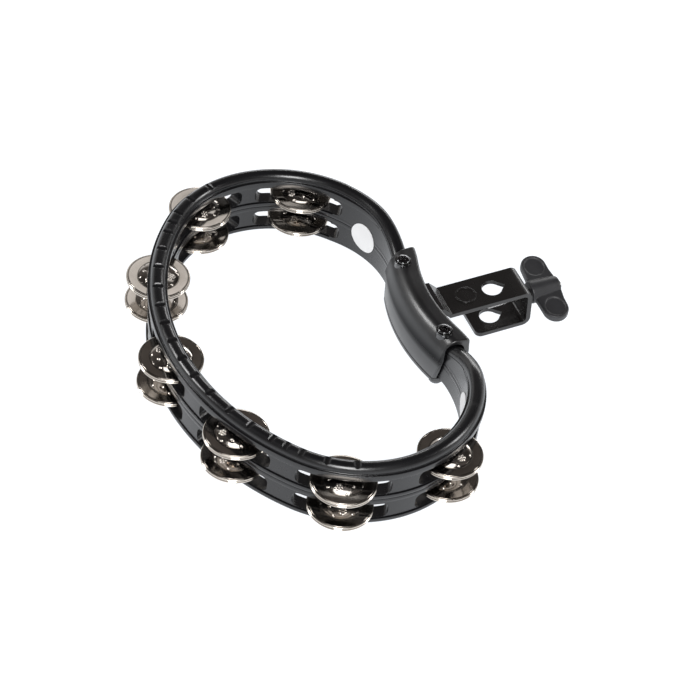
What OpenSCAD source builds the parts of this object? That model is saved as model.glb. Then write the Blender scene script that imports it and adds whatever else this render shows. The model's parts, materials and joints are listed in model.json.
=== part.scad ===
// Mountable tambourine: a kidney-shaped frame in two moulded halves, fourteen
// pairs of steel jingles on seven long pins, a two-part mount cover held by two
// through-bolts, a bent steel bracket for a rod, and a wing screw that clamps it.
// All lengths in mm. X runs towards the bracket, Y across, Z up.
// The modules are drawn with X = 0 at the middle of the frame wall opposite the
// bracket and Z = 0 at the middle of the upper row of jingles; centred() then moves
// everything so that the origin is the middle of the whole part's bounding box.

/* [Frame outline] */
// Radius of the long arc opposite the bracket, to the middle of the wall
main_r = 157.8; // [120:0.1:200]
// Radius of the two lobes
lobe_r = 74.6; // [50:0.1:90]
// Distance of a lobe's centre from the axis of symmetry
lobe_y = 55.1; // [30:0.1:80]
// Radius of the hollow arc at the mount, curving the other way
mount_r = 118.4; // [60:0.1:200]

/* [Frame section] */
// Wall thickness of the plain wall
wall = 10; // [6:0.1:14]
// Depth of the recessed channel on each face
recess = 0.8; // [0:0.1:2]
// Radius of the grip bead on top
bead_r = 4.7; // [3:0.1:7]
// Height of the bead's centre
bead_z = 11.8; // [9:0.1:16]
// Width of the collar under the bead
collar_w = 12.3; // [10:0.1:16]
// Bottom of the frame
bottom_z = -30; // [-40:0.5:-25]
// Distance between the two rows of jingles
row_pitch = 20; // [16:0.5:30]
// Height of a jingle slot
slot_h = 11.4; // [9:0.1:16]
// How far the middle of a slot lies below the middle of its jingles
slot_drop = 0.5; // [0:0.1:1.5]
// Height of the recessed channel the slots lie in
channel_h = 13.6; // [10:0.1:17]
// Length of a jingle slot along the wall
slot_len = 57; // [44:0.5:60]
// Distance between neighbouring jingle stations, along the wall
station_pitch = 71.8; // [60:0.1:80]

/* [Jingles] */
// Diameter of a jingle
jingle_d = 40; // [30:0.5:50]
// Sheet thickness
sheet = 0.6; // [0.4:0.05:1]
// Diameter of the central dome
dome_d = 24; // [14:0.5:30]
// Radius of the pin a jingle hangs on
pin_r = 1.25; // [0.8:0.05:2]

/* [Bracket] */
// Width of the bent strap
strap_w = 25; // [16:0.5:40]
// Thickness of the strap
strap_t = 3; // [2:0.1:4]
// Radius of the rod hole
rod_r = 6.5; // [4:0.1:8]
// Upward tilt of the bracket, degrees
tilt = 5; // [0:0.5:10]
// Distance between the top faces of the two legs
leg_gap = 25; // [18:0.5:40]

/* [Fasteners] */
// Shank radius of the two cover bolts
bolt_r = 2.5; // [1.5:0.1:4]
// Shank radius of the clamping stud
stud_r = 3; // [2:0.1:5]

/* [Hidden] */
$fn = 96;

overlap = 0.01;
half_wall = wall / 2;
split_z = -row_pitch / 2; // where the two frame halves meet
// centres of the lobes and of the hollow arc, from the arcs touching each other
lobe_x = main_r - sqrt(pow(main_r - lobe_r, 2) - pow(lobe_y, 2));
mount_x = lobe_x + sqrt(pow(lobe_r + mount_r, 2) - pow(lobe_y, 2));
// angles on a lobe where it meets the long arc and the hollow arc
lobe_angle = atan2(lobe_y, lobe_x - main_r);
mount_angle = -atan2(lobe_y, mount_x - lobe_x);
// lengths along the wall, from the far side to the end of each arc
main_len = main_r * (180 - lobe_angle) * PI / 180;
lobe_end = main_len + lobe_r * (lobe_angle - mount_angle) * PI / 180;
half_len = lobe_end + mount_r * -mount_angle * PI / 180;

// shared places at the mount
seat_z = 3.5; // seat of the strap's tongue on the upper half
tongue_top = seat_z + strap_t;
bolt_x = 165.6;
bolt_y = 32.4;
bolt_hole_r = bolt_r + 0.25;
cover_top = 9.5;
cover_bottom = -28;

// middle of the bounding box, before centring
mid_x = 122.02;
mid_z = -8.48;

// ---- the outline -------------------------------------------------------
// s is a length along the wall from the far side, positive towards +Y

// point at s, moved outwards from the wall's middle line
function path_pt(s, out) =
  let (len = abs(s), side = s < 0 ? -1 : 1)
  len < main_len
    ? let (t = 180 - len / main_r * 180 / PI)
      [main_r + (main_r + out) * cos(t), side * (main_r + out) * sin(t)]
  : len < lobe_end
    ? let (t = lobe_angle - (len - main_len) / lobe_r * 180 / PI)
      [lobe_x + (lobe_r + out) * cos(t), side * (lobe_y + (lobe_r + out) * sin(t))]
  : let (t = 180 + mount_angle + (len - lobe_end) / mount_r * 180 / PI)
    [mount_x + (mount_r - out) * cos(t), side * (mount_r - out) * sin(t)];

// the same, with the length counted from the middle of the mount
function mount_pt(along, out) =
  path_pt(along < 0 ? -half_len - along : half_len - along + 1e-6, out);

// arc that holds s: its centre, radius and the angle of s; long arc and lobes only
function on_main(s) = abs(s) < main_len;
function arc_centre(s) = on_main(s) ? [main_r, 0] : [lobe_x, sign(s) * lobe_y];
function arc_radius(s) = on_main(s) ? main_r : lobe_r;
function arc_angle(s) = on_main(s)
  ? 180 - s / main_r * 180 / PI
  : sign(s) * (lobe_angle - (abs(s) - main_len) / lobe_r * 180 / PI);

// a closed band; within far_len of the far side its half-width is far_half_w
module ring_band(z0, z1, half_w, far_half_w = 0, far_len = 0) {
  steps = 176;
  module outline(face)
    polygon([for (i = [0:steps - 1]) let (s = (2 * i / steps - 1) * half_len)
      path_pt(s, face * (abs(s) < far_len ? far_half_w : half_w))]);
  translate([0, 0, z0]) linear_extrude(z1 - z0) difference() {
    outline(1);
    outline(-1);
  }
}

// an open band across the mount, reaching outer_reach and inner_reach each way
// along its two sides, which lie out and in from the middle line
module mount_band(outer_reach, z0, z1, out, in, inner_reach) {
  steps = 24;
  translate([0, 0, z0]) linear_extrude(z1 - z0) polygon(concat(
    [for (i = [0:steps]) mount_pt((2 * i / steps - 1) * outer_reach, out)],
    [for (i = [steps:-1:0]) mount_pt((2 * i / steps - 1) * inner_reach, -in)]));
}

// move to the point at s, with local X pointing out of the ring
module at_wall(s) {
  spot = arc_centre(s) + arc_radius(s) * [cos(arc_angle(s)), sin(arc_angle(s))];
  translate([spot[0], spot[1], 0]) rotate([0, 0, arc_angle(s)]) children();
}

module at_stations() {
  for (k = [-3:3]) at_wall(k * station_pitch) children();
}

module at_bolts() {
  for (side = [-1, 1]) translate([bolt_x, side * bolt_y, 0]) children();
}

// extrude a [y, z] profile along X
module along_x(length) {
  rotate([90, 0, 90]) linear_extrude(length) children();
}

// extrude an [x, z] profile across Y, centred
module across_y(width) {
  rotate([90, 0, 0]) translate([0, 0, -width / 2]) linear_extrude(width) children();
}

// ---- frame halves --------------------------------------------------------
// the channels end a little short of the end of the last slot
channel_len = 3 * station_pitch + slot_len / 2 - 4;
collar_z = 7.2; // bottom of the collar
collar_gap = 76; // from the collar's end to the middle of the mount
foot_h = 1; // narrower foot at the bottom edge
foot_inset = 0.6;

// the bead starts to fall towards the mount at this angle of the lobe
fall_angle = 15;
fall_tilt = 20;
fall_span = 27;
fall_y = lobe_y + lobe_r * sin(fall_angle);

// lengths along the wall, used on both sides
grooves = [0, 15.6, 31, 47.5, 65, 81.5, 97.5, 107, 117, 132.5, 150];
pegs = [35.9, 107.7, 179.5, 265];
groove_r = 2.6;
groove_lift = 1.3; // groove axis above the top of the bead
peg_r = 2;

module at_pegs() {
  for (s = pegs, side = [-1, 1]) at_wall(side * s) children();
}

// a slot with rounded corners, punched straight through the wall at each station
module slots(row_z) {
  corner_r = 4;
  depth = 24;
  at_stations() translate([-depth / 2, 0, row_z - slot_drop]) along_x(depth) {
    square([slot_len, slot_h - 2 * corner_r], center = true);
    square([slot_len - 2 * corner_r, slot_h], center = true);
    for (p = [-1, 1], q = [-1, 1])
      translate([p * (slot_len / 2 - corner_r), q * (slot_h / 2 - corner_r)])
        circle(r = corner_r, $fn = 32);
  }
}

module pin_bores(z, h) {
  at_stations() translate([0, 0, z]) cylinder(r = pin_r + 0.2, h = h, $fn = 32);
}

module frame_bolt_holes() {
  at_bolts() translate([0, 0, -60]) cylinder(r = bolt_hole_r, h = 90, $fn = 32);
}

// a [y, z] profile run through the mount end of the frame
module mount_end_cut() {
  translate([130, 0, 0]) along_x(60) children();
}

// the wedge under the lobes that lifts the lower edge towards the mount
module lower_wedge() {
  outer_y = 104;
  inner_y = 45;
  rise = 5;
  mount_end_cut() polygon([
    [-outer_y, bottom_z - 1], [-outer_y, bottom_z], [-inner_y, bottom_z + rise],
    [inner_y, bottom_z + rise], [outer_y, bottom_z], [outer_y, bottom_z - 1]]);
}

// everything above the falling line of the bead, and above the tongue's seat
module upper_wedge() {
  seat_y = 41;
  foot_y = seat_y + 4;
  foot_z = 1.6;
  above_z = 30;
  mount_end_cut() polygon([
    [-fall_y, bead_z], [-foot_y, foot_z], [-seat_y, seat_z],
    [seat_y, seat_z], [foot_y, foot_z], [fall_y, bead_z],
    [fall_y, above_z], [-fall_y, above_z]]);
}

module bead_section() {
  circle(r = bead_r, $fn = 64);
}

// one lobe's bead: a level stretch, a falling stretch and balls at the joints
module lobe_bead(side) {
  level_span = lobe_angle - fall_angle;
  translate([lobe_x, side * lobe_y, bead_z]) {
    rotate([0, 0, side > 0 ? fall_angle : -lobe_angle])
      rotate_extrude(angle = level_span, $fn = 96) translate([lobe_r, 0]) bead_section();
    for (a = [lobe_angle, fall_angle])
      translate([lobe_r * cos(a), side * lobe_r * sin(a), 0])
        sphere(r = bead_r + 0.1, $fn = 64);
    rotate([0, 0, side * fall_angle]) rotate([side * fall_tilt, 0, 0])
      rotate([0, 0, side > 0 ? -fall_span : 0])
        rotate_extrude(angle = fall_span, $fn = 96) translate([lobe_r, 0]) bead_section();
  }
}

module bead() {
  translate([main_r, 0, bead_z]) rotate([0, 0, lobe_angle])
    rotate_extrude(angle = 360 - 2 * lobe_angle, $fn = 120)
      translate([main_r, 0]) bead_section();
  for (side = [-1, 1]) lobe_bead(side);
}

module frame_upper() {
  color([0.13, 0.13, 0.14]) difference() {
    union() {
      difference() {
        union() {
          ring_band(split_z, -channel_h / 2, half_wall);
          ring_band(-channel_h / 2, channel_h / 2, half_wall, half_wall - recess, channel_len);
          ring_band(channel_h / 2, collar_z, half_wall);
          ring_band(collar_z, bead_z, half_wall, collar_w / 2, half_len - collar_gap);
        }
        upper_wedge();
      }
      bead();
    }
    slots(0);
    pin_bores(z = split_z - 1, h = 21.6);
    // finger grooves across the bead
    for (s = grooves, side = s > 0 ? [-1, 1] : [1])
      at_wall(side * s) translate([-8, 0, bead_z + bead_r + groove_lift])
        rotate([0, 90, 0]) cylinder(r = groove_r, h = 16, $fn = 32);
    // holes for the lower half's locating pegs
    at_pegs() translate([0, 0, split_z - 1]) cylinder(r = peg_r + 0.05, h = 5.4, $fn = 32);
    frame_bolt_holes();
  }
}

module frame_lower() {
  row_z = -row_pitch;
  channel_top = row_z + channel_h / 2;
  channel_bottom = row_z - channel_h / 2;
  foot_top = bottom_z + foot_h;
  color([0.14, 0.14, 0.15]) difference() {
    union() {
      difference() {
        union() {
          ring_band(channel_top, split_z, half_wall);
          ring_band(channel_bottom, channel_top, half_wall, half_wall - recess, channel_len);
          ring_band(foot_top, channel_bottom, half_wall);
          ring_band(bottom_z, foot_top, half_wall - foot_inset);
        }
        lower_wedge();
      }
      at_pegs() translate([0, 0, split_z - 2]) cylinder(r = peg_r, h = 6, $fn = 32);
    }
    slots(row_z);
    pin_bores(z = bottom_z + 0.9, h = 30);
    frame_bolt_holes();
  }
}

// ---- jingles ---------------------------------------------------------------
// one domed disc, its rim plane at z = 0 and its dome upwards
module jingle() {
  r = jingle_d / 2;
  rim_r = 0.5;
  dome_r = dome_d / 2;
  dome_h = 2.4;
  flare = 0.8; // rise of the flange from rim to dome
  ball_r = (dome_r * dome_r + dome_h * dome_h) / (2 * dome_h);
  bump_r = 1.6;
  color([0.72, 0.7, 0.66]) difference() {
    union() {
      rotate_extrude($fn = 96) {
        // rolled rim
        translate([r - rim_r, rim_r]) circle(r = rim_r, $fn = 24);
        // conical flange
        polygon([[dome_r - 0.3, flare + 0.1], [r - 0.6, 0.1],
          [r - 0.3, 0.7], [dome_r - 0.3, flare + 0.1 + sheet]]);
        // spherical dome
        intersection() {
          translate([0, flare + dome_h - ball_r]) difference() {
            circle(r = ball_r + sheet, $fn = 180);
            circle(r = ball_r, $fn = 180);
          }
          translate([0, flare + 0.05]) square([dome_r, 6]);
        }
      }
      // six bumps round the foot of the dome
      for (a = [0:60:300]) rotate([0, 0, a]) translate([dome_r - bump_r, 0, flare + 0.2])
        intersection() {
          sphere(r = bump_r, $fn = 24);
          translate([-3, -3, 0.1]) cube([6, 6, 4]);
        }
    }
    translate([0, 0, -1]) cylinder(r = pin_r + 0.25, h = 8, $fn = 32);
  }
}

// station 1 is the last one on the +Y side, station 7 the last on the -Y side
module at_station(station) {
  at_wall((4 - station) * station_pitch) children();
}

// row 0 is the upper one; each jingle is turned a little differently
module place_jingle(station, row, up) {
  rim_gap = 0.1;
  at_station(station) translate([0, 0, -row * row_pitch + (up ? rim_gap : -rim_gap)])
    rotate([0, 0, 17 * station + 31 * row]) mirror([0, 0, up ? 0 : 1]) jingle();
}

module pin(station) {
  color([0.6, 0.6, 0.62]) at_station(station)
    translate([0, 0, bottom_z + 1]) cylinder(r = pin_r, h = 39.4, $fn = 32);
}

// ---- mount cover -------------------------------------------------------------
cover_reach = 46; // half the length of wall that the cover hides
cover_cavity = 6; // half-width of the space inside the cover
// [outer reach, bottom, top, outwards, inwards, inner reach]
cover_bands = [
  [cover_reach, -24.5, -7.2, 8.4, 8.4, 37],
  [cover_reach, -7.2, 0, 9.4, 9.2, 41],
  [cover_reach, 0, 4.5, 9.4, 8, 41.5],
  [cover_reach, 4.5, 7.2, 9.2, 7.4, 41.5],
  [cover_reach - 1, 7.2, cover_top, 8.6, 6.2, 41]];

module cover_upper() {
  cavity_reach = cover_reach + 3;
  mouth_gap = 0.4;
  color([0.2, 0.2, 0.21]) difference() {
    union() for (b = cover_bands) mount_band(b[0], b[1], b[2], b[3], b[4], b[5]);
    mount_band(cavity_reach, -40, tongue_top, cover_cavity, cover_cavity, cavity_reach);
    at_bolts() cylinder(r = bolt_hole_r, h = 20, $fn = 32);
    // mouth for the strap on the outer side
    translate([mount_x - mount_r + 3, -strap_w / 2 - mouth_gap, -8])
      cube([12, strap_w + 2 * mouth_gap, 14.7]);
  }
}

module cover_lower() {
  color([0.2, 0.2, 0.21]) difference() {
    mount_band(cover_reach, cover_bottom, cover_bottom + 3, 8.4, 8.4, 36);
    at_bolts() translate([0, 0, -40]) cylinder(r = bolt_hole_r, h = 30, $fn = 32);
  }
}

// ---- bracket -------------------------------------------------------------------
// places along the tilted strap
hinge_x = 176;
hinge_z = 0.1;
web_x = 60.9; // outer face of the web
hole_x = 38; // rod holes
lower_leg_x = 24; // free end of the lower leg
bend_r = 5.5; // outside of the bends
leg_mid_z = -(leg_gap + strap_t) / 2;

// the bracket's own frame: X along the strap, Z = 0 on the upper leg's top face
module bracket_frame() {
  translate([hinge_x, 0, hinge_z]) rotate([0, -tilt, 0]) children();
}

// round hole with a V on the side facing the web
module rod_hole() {
  v_side = rod_r - 0.15;
  cylinder(r = rod_r, h = 20, center = true, $fn = 64);
  translate([0, 0, -10]) rotate([0, 0, -45]) cube([v_side, v_side, 20]);
}

// bent strap, seen from the side: upper leg, web, lower leg
module strap_profile() {
  bend_x = web_x - bend_r;
  lower_bend_z = -leg_gap - strap_t + bend_r;
  web_h = leg_gap + strap_t - 2 * bend_r;
  upper_leg_x = 4;
  translate([upper_leg_x, -strap_t]) square([bend_x - upper_leg_x, strap_t]);
  translate([lower_leg_x, -leg_gap - strap_t]) square([bend_x - lower_leg_x, strap_t]);
  translate([web_x - strap_t, lower_bend_z]) square([strap_t, web_h]);
  // the two bends: discs less everything inside the strap
  difference() {
    union() for (z = [-bend_r, lower_bend_z]) translate([bend_x, z]) circle(r = bend_r, $fn = 64);
    for (z = [-bend_r, lower_bend_z])
      translate([bend_x, z]) circle(r = bend_r - strap_t, $fn = 64);
    translate([bend_x - bend_r, lower_bend_z]) square([2 * bend_r - strap_t, web_h]);
    for (z = [-bend_r * 2, -leg_gap])
      translate([bend_x - bend_r - 1, z]) square([bend_r + 1, bend_r * 2 - strap_t]);
  }
}

// what is cut off the two corners at the lower leg's free end
module lower_leg_corners() {
  corner_r = 4;
  corner_y = strap_w / 2 - corner_r;
  for (side = [-1, 1]) difference() {
    translate([lower_leg_x - 1, side > 0 ? corner_y : -strap_w / 2 - 1, -leg_gap - 6])
      cube([corner_r + 1, corner_r + 1, 8]);
    translate([lower_leg_x + corner_r, side * corner_y, -leg_gap - 7])
      cylinder(r = corner_r, h = 10, $fn = 32);
  }
}

module bracket_strap() {
  // [x, z] of the joggle from the tongue down to the strap
  joggle = [[165, seat_z], [173.8, seat_z], [hinge_x + 4.4, -2.45], [hinge_x + 8, -2.1],
    [hinge_x + 8, 0.7], [hinge_x + 5.5, 0.5], [175, tongue_top], [165, tongue_top]];
  tongue_reach = 38;
  color([0.16, 0.15, 0.15]) {
    difference() {
      union() {
        bracket_frame() across_y(strap_w) strap_profile();
        across_y(strap_w - 0.2) polygon(joggle);
        // tongue under the cover, following the hollow arc
        mount_band(tongue_reach, seat_z, tongue_top, 4.8, 4.2, tongue_reach);
      }
      bracket_frame() {
        for (side = [-1, 1]) translate([hole_x, 0, leg_mid_z + side * leg_gap / 2]) rod_hole();
        // stud hole in the web
        translate([web_x - 8, 0, leg_mid_z]) rotate([0, 90, 0])
          cylinder(r = stud_r + 0.05, h = 12, $fn = 48);
        lower_leg_corners();
      }
      at_bolts() cylinder(r = bolt_r + 0.15, h = 20, $fn = 32);
    }
    // plain raised ring on the upper leg
    bracket_frame() translate([20, 0, -overlap]) difference() {
      cylinder(r = 6.8, h = 0.35, $fn = 48);
      translate([0, 0, -1]) cylinder(r = 6, h = 3, $fn = 48);
    }
  }
}

// ---- fasteners -------------------------------------------------------------------
module cover_bolts() {
  tip_z = -33.5;
  head_r = 4.3;
  head_top = 12.4;
  dome_r = 5.2;
  cross_len = 4.8;
  cross_w = 1;
  color([0.12, 0.12, 0.12]) at_bolts() difference() {
    union() {
      translate([0, 0, tip_z]) cylinder(r = bolt_r, h = cover_top - tip_z, $fn = 32);
      // washer flange and pan head
      translate([0, 0, cover_top]) cylinder(r = 5.25, h = 0.8, $fn = 48);
      translate([0, 0, 10.2]) cylinder(r = head_r, h = 0.8, $fn = 48);
      intersection() {
        translate([0, 0, head_top - dome_r]) sphere(r = dome_r, $fn = 64);
        translate([0, 0, 10.6]) cylinder(r = head_r, h = 4, $fn = 48);
      }
    }
    // cross recess
    for (a = [0, 90]) rotate([0, 0, a + 20])
      translate([-cross_len / 2, -cross_w / 2, 10.9]) cube([cross_len, cross_w, 4]);
  }
}

module cover_nuts() {
  flange_h = 1;
  color([0.12, 0.12, 0.12]) at_bolts() difference() {
    union() {
      translate([0, 0, cover_bottom - flange_h]) cylinder(r = 5.4, h = flange_h, $fn = 48);
      translate([0, 0, -33]) cylinder(r = 4.6, h = 4.1, $fn = 6);
    }
    translate([0, 0, -40]) cylinder(r = bolt_r, h = 20, $fn = 32);
  }
}

// ---- labels inside the wall --------------------------------------------------------
// a thin bar bent along the inner face at s, from z0 to z1
module label_bar(s, length, z0, z1) {
  gap = 0.05;
  thick = 0.3;
  angle = length / arc_radius(s) * 180 / PI;
  translate([arc_centre(s)[0], arc_centre(s)[1], 0]) rotate([0, 0, arc_angle(s) - angle / 2])
    rotate_extrude(angle = angle, $fn = 96)
      translate([arc_radius(s) - half_wall - gap - thick, z0]) square([thick, z1 - z0]);
}

module label_discs() {
  label_s = 268;
  label_z = -11.2;
  color([0.92, 0.92, 0.92]) for (side = [-1, 1]) intersection() {
    label_bar(side * label_s, length = 30, z0 = -23, z1 = 5);
    at_wall(side * label_s) translate([-20, 0, label_z]) rotate([0, 90, 0])
      cylinder(r = 10.3, h = 20, $fn = 64);
  }
}

// ---- wing screw ----------------------------------------------------------------------
module clamp_stud() {
  tip_x = 35.5;
  chamfer = 0.8;
  shank_x = tip_x + chamfer;
  end_x = web_x + 26;
  color([0.75, 0.75, 0.76]) bracket_frame()
    translate([0, 0, leg_mid_z]) rotate([0, 90, 0]) {
      translate([0, 0, tip_x])
        cylinder(r1 = stud_r - chamfer, r2 = stud_r, h = chamfer + overlap, $fn = 48);
      translate([0, 0, shank_x]) cylinder(r = stud_r, h = end_x - shank_x, $fn = 48);
    }
}

module wing_knob() {
  hub_len = 20.5;
  turn = 8;
  wing_x = 2.6; // near edge of the wings
  wing_y = 17.5; // centre of a wing's round end
  wing_r = 8.3;
  wing_t = 5.5;
  color([0.25, 0.25, 0.26]) bracket_frame() translate([web_x + 4, 0, leg_mid_z])
    rotate([turn, 0, 0]) difference() {
      union() {
        rotate([0, 90, 0]) cylinder(r1 = 7.4, r2 = 6, h = hub_len, $fn = 64);
        // two flat wings with round ends
        translate([wing_x, -wing_y, -wing_t / 2]) cube([2 * wing_r, 2 * wing_y, wing_t]);
        for (side = [-1, 1]) translate([wing_x + wing_r, side * wing_y, -wing_t / 2])
          cylinder(r = wing_r, h = wing_t, $fn = 64);
      }
      rotate([0, 90, 0]) translate([0, 0, -1])
        cylinder(r = stud_r + 0.03, h = hub_len + 2, $fn = 48);
    }
}

module centred() {
  translate([-mid_x, 0, -mid_z]) children();
}

centred() frame_upper();
centred() frame_lower();
centred() pin(1);  // pin_1
centred() pin(2);  // pin_2
centred() pin(3);  // pin_3
centred() pin(4);  // pin_4
centred() pin(5);  // pin_5
centred() pin(6);  // pin_6
centred() pin(7);  // pin_7
centred() place_jingle(1, 0, true);  // jingle_1a_top
centred() place_jingle(1, 0, false);  // jingle_1a_bottom
centred() place_jingle(1, 1, true);  // jingle_1b_top
centred() place_jingle(1, 1, false);  // jingle_1b_bottom
centred() place_jingle(2, 0, true);  // jingle_2a_top
centred() place_jingle(2, 0, false);  // jingle_2a_bottom
centred() place_jingle(2, 1, true);  // jingle_2b_top
centred() place_jingle(2, 1, false);  // jingle_2b_bottom
centred() place_jingle(3, 0, true);  // jingle_3a_top
centred() place_jingle(3, 0, false);  // jingle_3a_bottom
centred() place_jingle(3, 1, true);  // jingle_3b_top
centred() place_jingle(3, 1, false);  // jingle_3b_bottom
centred() place_jingle(4, 0, true);  // jingle_4a_top
centred() place_jingle(4, 0, false);  // jingle_4a_bottom
centred() place_jingle(4, 1, true);  // jingle_4b_top
centred() place_jingle(4, 1, false);  // jingle_4b_bottom
centred() place_jingle(5, 0, true);  // jingle_5a_top
centred() place_jingle(5, 0, false);  // jingle_5a_bottom
centred() place_jingle(5, 1, true);  // jingle_5b_top
centred() place_jingle(5, 1, false);  // jingle_5b_bottom
centred() place_jingle(6, 0, true);  // jingle_6a_top
centred() place_jingle(6, 0, false);  // jingle_6a_bottom
centred() place_jingle(6, 1, true);  // jingle_6b_top
centred() place_jingle(6, 1, false);  // jingle_6b_bottom
centred() place_jingle(7, 0, true);  // jingle_7a_top
centred() place_jingle(7, 0, false);  // jingle_7a_bottom
centred() place_jingle(7, 1, true);  // jingle_7b_top
centred() place_jingle(7, 1, false);  // jingle_7b_bottom
centred() cover_upper();
centred() cover_lower();
centred() bracket_strap();
centred() cover_bolts();
centred() cover_nuts();
centred() label_discs();
centred() clamp_stud();
centred() wing_knob();
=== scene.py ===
"""A ring-shaped tambourine with two rows of seven jingle pairs and a covered mount with a clamp.

Pieces are drawn in millimetres, in the design's own frame: x 0 is the middle of the wall opposite
the bracket, +x points to the mount and the wing knob, y is symmetric and +z is up. The upper row
of jingles lies at z 0 and the lower row at z -20; the two frame halves meet at z -10.
"""
import json
import math
import bpy
import bmesh
import numpy as np
from mathutils import Matrix, Vector

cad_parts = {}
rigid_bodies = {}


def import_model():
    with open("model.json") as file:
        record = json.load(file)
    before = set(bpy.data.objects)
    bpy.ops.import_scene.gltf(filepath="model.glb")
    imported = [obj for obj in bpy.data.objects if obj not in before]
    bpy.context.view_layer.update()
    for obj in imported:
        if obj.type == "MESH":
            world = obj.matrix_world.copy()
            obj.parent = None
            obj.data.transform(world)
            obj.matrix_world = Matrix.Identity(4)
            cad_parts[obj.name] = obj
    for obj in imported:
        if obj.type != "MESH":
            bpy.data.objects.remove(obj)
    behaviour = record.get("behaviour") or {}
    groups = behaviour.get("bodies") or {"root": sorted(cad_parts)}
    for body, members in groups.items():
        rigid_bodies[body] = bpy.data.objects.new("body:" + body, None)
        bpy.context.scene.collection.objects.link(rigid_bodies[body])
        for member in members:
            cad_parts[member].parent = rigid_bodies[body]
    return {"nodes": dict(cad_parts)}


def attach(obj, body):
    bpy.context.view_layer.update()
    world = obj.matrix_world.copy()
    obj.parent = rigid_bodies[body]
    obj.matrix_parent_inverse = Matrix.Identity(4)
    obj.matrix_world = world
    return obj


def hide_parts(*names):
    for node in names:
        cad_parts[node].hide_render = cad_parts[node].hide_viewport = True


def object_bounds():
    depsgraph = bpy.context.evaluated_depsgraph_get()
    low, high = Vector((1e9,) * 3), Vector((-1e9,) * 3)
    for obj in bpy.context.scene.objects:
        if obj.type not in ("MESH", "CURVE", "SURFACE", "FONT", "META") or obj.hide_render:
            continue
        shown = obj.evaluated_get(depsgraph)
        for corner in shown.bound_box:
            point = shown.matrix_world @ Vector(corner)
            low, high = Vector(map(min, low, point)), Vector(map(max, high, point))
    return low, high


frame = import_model()
cad_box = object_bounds()
SCENE = bpy.context.scene
MM = 0.001
# carries the design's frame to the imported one, whose origin is the middle of the whole box (metres)
SHIFT = Vector((cad_box[0][0] + 0.020, 0.0, cad_box[0][2] + 0.0335))
MIDDLE_X = 0.14   # middle of the ring along x, metres


# ---------------------------------------------------------------- shader helpers
def grey(value):
    return (value,) * 3


def new_material(name):
    """An empty material with a Principled shader: (material, node tree, shader)."""
    material = bpy.data.materials.new(name)
    material.use_nodes = True
    tree = material.node_tree
    tree.nodes.clear()
    output = tree.nodes.new("ShaderNodeOutputMaterial")
    shader = tree.nodes.new("ShaderNodeBsdfPrincipled")
    tree.links.new(shader.outputs[0], output.inputs[0])
    return material, tree, shader


def noise(tree, scale, detail, roughness=0.5, seed=0.0):
    node = tree.nodes.new("ShaderNodeTexNoise")
    node.noise_dimensions = "4D"
    node.inputs["W"].default_value = seed
    node.inputs["Scale"].default_value = scale
    node.inputs["Detail"].default_value = detail
    node.inputs["Roughness"].default_value = roughness
    coords = tree.nodes.new("ShaderNodeTexCoord")
    tree.links.new(coords.outputs["Object"], node.inputs["Vector"])
    return node.outputs[0]


def ramp(tree, source, stops):
    """Colour ramp through stops of (position, rgb)."""
    node = tree.nodes.new("ShaderNodeValToRGB")
    elements = node.color_ramp.elements
    for element, (position, colour) in zip(elements, (stops[0], stops[-1])):
        element.position = position
        element.color = (*colour, 1)
    for position, colour in stops[1:-1]:
        elements.new(position).color = (*colour, 1)
    tree.links.new(source, node.inputs[0])
    return node.outputs[0]


def remap(tree, source, span, to):
    """Maps the range span of source onto the range to."""
    node = tree.nodes.new("ShaderNodeMapRange")
    for index, value in enumerate((*span, *to), 1):
        node.inputs[index].default_value = value
    tree.links.new(source, node.inputs[0])
    return node.outputs[0]


def mix(tree, blend, factor, first, second):
    """Blends two colours; sockets 6 and 7 in, 2 out are the node's colour ones."""
    node = tree.nodes.new("ShaderNodeMix")
    node.data_type = "RGBA"
    node.blend_type = blend
    node.inputs[0].default_value = factor
    tree.links.new(first, node.inputs[6])
    tree.links.new(second, node.inputs[7])
    return node.outputs[2]


# ---------------------------------------------------------------- materials
MATERIALS = {}


def surface(name, dark, light, rough, metal=0.0, grain=900.0, bump=0.02, depth=0.0002,
            edge=0.0004, coat=0.0, spec=0.5, smudge=35.0):
    """Mottled colour, smudged roughness, fine bump and, where edge is set, rounded edges.

    smudge and grain are the coarse and fine noise scales; depth and edge are in metres.
    """
    material, tree, shader = new_material(name)
    coarse = noise(tree, smudge, detail=5, roughness=0.6, seed=1.3)
    fine = noise(tree, grain, detail=3, roughness=0.55, seed=4.1)
    mottle = ramp(tree, coarse, [(0.3, dark), (0.7, light)])
    tree.links.new(mottle, shader.inputs["Base Color"])
    roughness = remap(tree, coarse, span=(0.3, 0.7), to=rough)
    tree.links.new(roughness, shader.inputs["Roughness"])
    shader.inputs["Metallic"].default_value = metal
    shader.inputs["Specular IOR Level"].default_value = spec
    shader.inputs["Coat Weight"].default_value = coat
    shader.inputs["Coat Roughness"].default_value = 0.12
    relief = tree.nodes.new("ShaderNodeBump")
    relief.inputs["Strength"].default_value = bump
    relief.inputs["Distance"].default_value = depth
    tree.links.new(fine, relief.inputs["Height"])
    if edge > 0:
        bevel = tree.nodes.new("ShaderNodeBevel")
        bevel.samples = 12
        bevel.inputs["Radius"].default_value = edge
        tree.links.new(bevel.outputs[0], relief.inputs["Normal"])
    tree.links.new(relief.outputs[0], shader.inputs["Normal"])
    MATERIALS[name] = material


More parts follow.
